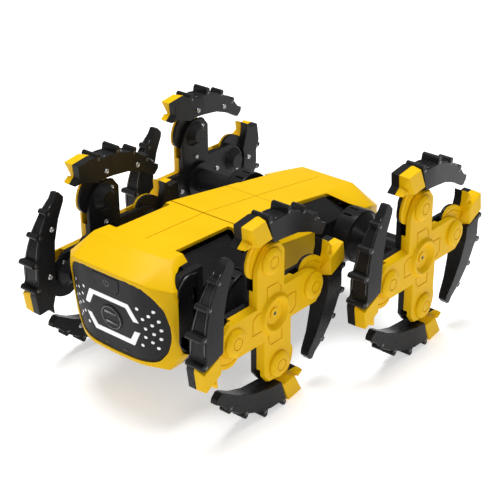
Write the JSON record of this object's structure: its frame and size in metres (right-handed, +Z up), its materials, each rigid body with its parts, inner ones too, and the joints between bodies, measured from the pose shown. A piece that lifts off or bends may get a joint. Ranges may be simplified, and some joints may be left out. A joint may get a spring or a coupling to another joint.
{
  "type": "toy robot",
  "caption": "Yellow and black spider robot with a low wedge body and four-armed wheels whose curved claws pivot at the arm ends",
  "frame": {"origin": "on the ground in the middle of the robot", "axes": "+X to the robot's left side, which is the viewer's right when the face is seen from the front; +Y from the face to the tail; +Z up"},
  "size_m": [0.1714, 0.206, 0.1104],
  "materials": {
    "yellow_abs": "saturated warm yellow moulded ABS, semi-gloss, fine texture",
    "black_abs": "black moulded ABS, satin to semi-gloss with bright edges",
    "face_charcoal": "matte charcoal face panel with fine texture",
    "light_white": "white translucent light guide, lit softly",
    "screw_steel": "zinc plated cross-head screws",
    "zinc_steel": "plain zinc plated motor cans and cell jackets",
    "board_green": "green solder mask"
  },
  "bodies": {
    "root": {"front_cover": "yellow_abs", "rear_cover": "yellow_abs", "lower_shell": "black_abs", "face_panel": "face_charcoal", "light_guide": "light_white", "chassis": "black_abs", "front_axle_housings": "black_abs", "rear_axle_housings": "black_abs", "gear_motors": "zinc_steel", "battery_box": "black_abs", "battery_cells": "zinc_steel", "battery_cover": "black_abs", "circuit_board": "board_green", "speaker": "black_abs", "body_screws": "screw_steel"},
    "power_button": {"power_button": "black_abs"},
    "front_right_wheel": {"front_right_wheel_cover": "yellow_abs", "front_right_wheel_frame": "black_abs", "front_right_axle": "black_abs"},
    "front_right_top_claw": {"front_right_top_claw_cover": "yellow_abs", "front_right_top_claw_foot": "black_abs"},
    "front_right_rear_claw": {"front_right_rear_claw_cover": "yellow_abs", "front_right_rear_claw_foot": "black_abs"},
    "front_right_bottom_claw": {"front_right_bottom_claw_cover": "yellow_abs", "front_right_bottom_claw_foot": "black_abs"},
    "front_right_front_claw": {"front_right_front_claw_cover": "yellow_abs", "front_right_front_claw_foot": "black_abs"},
    "front_left_wheel": {"front_left_wheel_cover": "yellow_abs", "front_left_wheel_frame": "black_abs", "front_left_axle": "black_abs"},
    "front_left_top_claw": {"front_left_top_claw_cover": "yellow_abs", "front_left_top_claw_foot": "black_abs"},
    "front_left_rear_claw": {"front_left_rear_claw_cover": "yellow_abs", "front_left_rear_claw_foot": "black_abs"},
    "front_left_bottom_claw": {"front_left_bottom_claw_cover": "yellow_abs", "front_left_bottom_claw_foot": "black_abs"},
    "front_left_front_claw": {"front_left_front_claw_cover": "yellow_abs", "front_left_front_claw_foot": "black_abs"},
    "rear_right_wheel": {"rear_right_wheel_cover": "yellow_abs", "rear_right_wheel_frame": "black_abs", "rear_right_axle": "black_abs"},
    "rear_right_top_claw": {"rear_right_top_claw_cover": "yellow_abs", "rear_right_top_claw_foot": "black_abs"},
    "rear_right_rear_claw": {"rear_right_rear_claw_cover": "yellow_abs", "rear_right_rear_claw_foot": "black_abs"},
    "rear_right_bottom_claw": {"rear_right_bottom_claw_cover": "yellow_abs", "rear_right_bottom_claw_foot": "black_abs"},
    "rear_right_front_claw": {"rear_right_front_claw_cover": "yellow_abs", "rear_right_front_claw_foot": "black_abs"},
    "rear_left_wheel": {"rear_left_wheel_cover": "yellow_abs", "rear_left_wheel_frame": "black_abs", "rear_left_axle": "black_abs"},
    "rear_left_top_claw": {"rear_left_top_claw_cover": "yellow_abs", "rear_left_top_claw_foot": "black_abs"},
    "rear_left_rear_claw": {"rear_left_rear_claw_cover": "yellow_abs", "rear_left_rear_claw_foot": "black_abs"},
    "rear_left_bottom_claw": {"rear_left_bottom_claw_cover": "yellow_abs", "rear_left_bottom_claw_foot": "black_abs"},
    "rear_left_front_claw": {"rear_left_front_claw_cover": "yellow_abs", "rear_left_front_claw_foot": "black_abs"}
  },
  "joints": [
    {"name": "power_button_press", "type": "slide", "parent": "root", "child": "power_button", "axis": [0, 1, 0], "range_m": [0, 0.0012], "stiffness_N_per_m": 300},
    {"name": "front_right_wheel_turn", "type": "hinge", "parent": "root", "child": "front_right_wheel", "pos_m": [0.0435, -0.0478, 0.0552], "axis": [1, 0, 0], "continuous": true},
    {"name": "front_right_top_claw_swing", "type": "hinge", "parent": "front_right_wheel", "child": "front_right_top_claw", "pos_m": [0.0569, -0.0508, 0.0852], "axis": [1, 0, 0], "range_deg": [0, 28]},
    {"name": "front_right_rear_claw_swing", "type": "hinge", "parent": "front_right_wheel", "child": "front_right_rear_claw", "pos_m": [0.0569, -0.0178, 0.0582], "axis": [1, 0, 0], "range_deg": [0, 28]},
    {"name": "front_right_bottom_claw_swing", "type": "hinge", "parent": "front_right_wheel", "child": "front_right_bottom_claw", "pos_m": [0.0569, -0.0448, 0.0252], "axis": [1, 0, 0], "range_deg": [0, 28]},
    {"name": "front_right_front_claw_swing", "type": "hinge", "parent": "front_right_wheel", "child": "front_right_front_claw", "pos_m": [0.0569, -0.0778, 0.0522], "axis": [1, 0, 0], "range_deg": [0, 28]},
    {"name": "front_left_wheel_turn", "type": "hinge", "parent": "root", "child": "front_left_wheel", "pos_m": [-0.0435, -0.0478, 0.0552], "axis": [1, 0, 0], "continuous": true},
    {"name": "front_left_top_claw_swing", "type": "hinge", "parent": "front_left_wheel", "child": "front_left_top_claw", "pos_m": [-0.0569, -0.0508, 0.0852], "axis": [1, 0, 0], "range_deg": [0, 28]},
    {"name": "front_left_rear_claw_swing", "type": "hinge", "parent": "front_left_wheel", "child": "front_left_rear_claw", "pos_m": [-0.0569, -0.0178, 0.0582], "axis": [1, 0, 0], "range_deg": [0, 28]},
    {"name": "front_left_bottom_claw_swing", "type": "hinge", "parent": "front_left_wheel", "child": "front_left_bottom_claw", "pos_m": [-0.0569, -0.0448, 0.0252], "axis": [1, 0, 0], "range_deg": [0, 28]},
    {"name": "front_left_front_claw_swing", "type": "hinge", "parent": "front_left_wheel", "child": "front_left_front_claw", "pos_m": [-0.0569, -0.0778, 0.0522], "axis": [1, 0, 0], "range_deg": [0, 28]},
    {"name": "rear_right_wheel_turn", "type": "hinge", "parent": "root", "child": "rear_right_wheel", "pos_m": [0.0657, 0.0478, 0.0552], "axis": [1, 0, 0], "continuous": true},
    {"name": "rear_right_top_claw_swing", "type": "hinge", "parent": "rear_right_wheel", "child": "rear_right_top_claw", "pos_m": [0.0791, 0.0448, 0.0852], "axis": [1, 0, 0], "range_deg": [0, 28]},
    {"name": "rear_right_rear_claw_swing", "type": "hinge", "parent": "rear_right_wheel", "child": "rear_right_rear_claw", "pos_m": [0.0791, 0.0778, 0.0582], "axis": [1, 0, 0], "range_deg": [0, 28]},
    {"name": "rear_right_bottom_claw_swing", "type": "hinge", "parent": "rear_right_wheel", "child": "rear_right_bottom_claw", "pos_m": [0.0791, 0.0508, 0.0252], "axis": [1, 0, 0], "range_deg": [0, 28]},
    {"name": "rear_right_front_claw_swing", "type": "hinge", "parent": "rear_right_wheel", "child": "rear_right_front_claw", "pos_m": [0.0791, 0.0178, 0.0522], "axis": [1, 0, 0], "range_deg": [0, 28]},
    {"name": "rear_left_wheel_turn", "type": "hinge", "parent": "root", "child": "rear_left_wheel", "pos_m": [-0.0657, 0.0478, 0.0552], "axis": [1, 0, 0], "continuous": true},
    {"name": "rear_left_top_claw_swing", "type": "hinge", "parent": "rear_left_wheel", "child": "rear_left_top_claw", "pos_m": [-0.0791, 0.0448, 0.0852], "axis": [1, 0, 0], "range_deg": [0, 28]},
    {"name": "rear_left_rear_claw_swing", "type": "hinge", "parent": "rear_left_wheel", "child": "rear_left_rear_claw", "pos_m": [-0.0791, 0.0778, 0.0582], "axis": [1, 0, 0], "range_deg": [0, 28]},
    {"name": "rear_left_bottom_claw_swing", "type": "hinge", "parent": "rear_left_wheel", "child": "rear_left_bottom_claw", "pos_m": [-0.0791, 0.0508, 0.0252], "axis": [1, 0, 0], "range_deg": [0, 28]},
    {"name": "rear_left_front_claw_swing", "type": "hinge", "parent": "rear_left_wheel", "child": "rear_left_front_claw", "pos_m": [-0.0791, 0.0178, 0.0522], "axis": [1, 0, 0], "range_deg": [0, 28]}
  ]
}
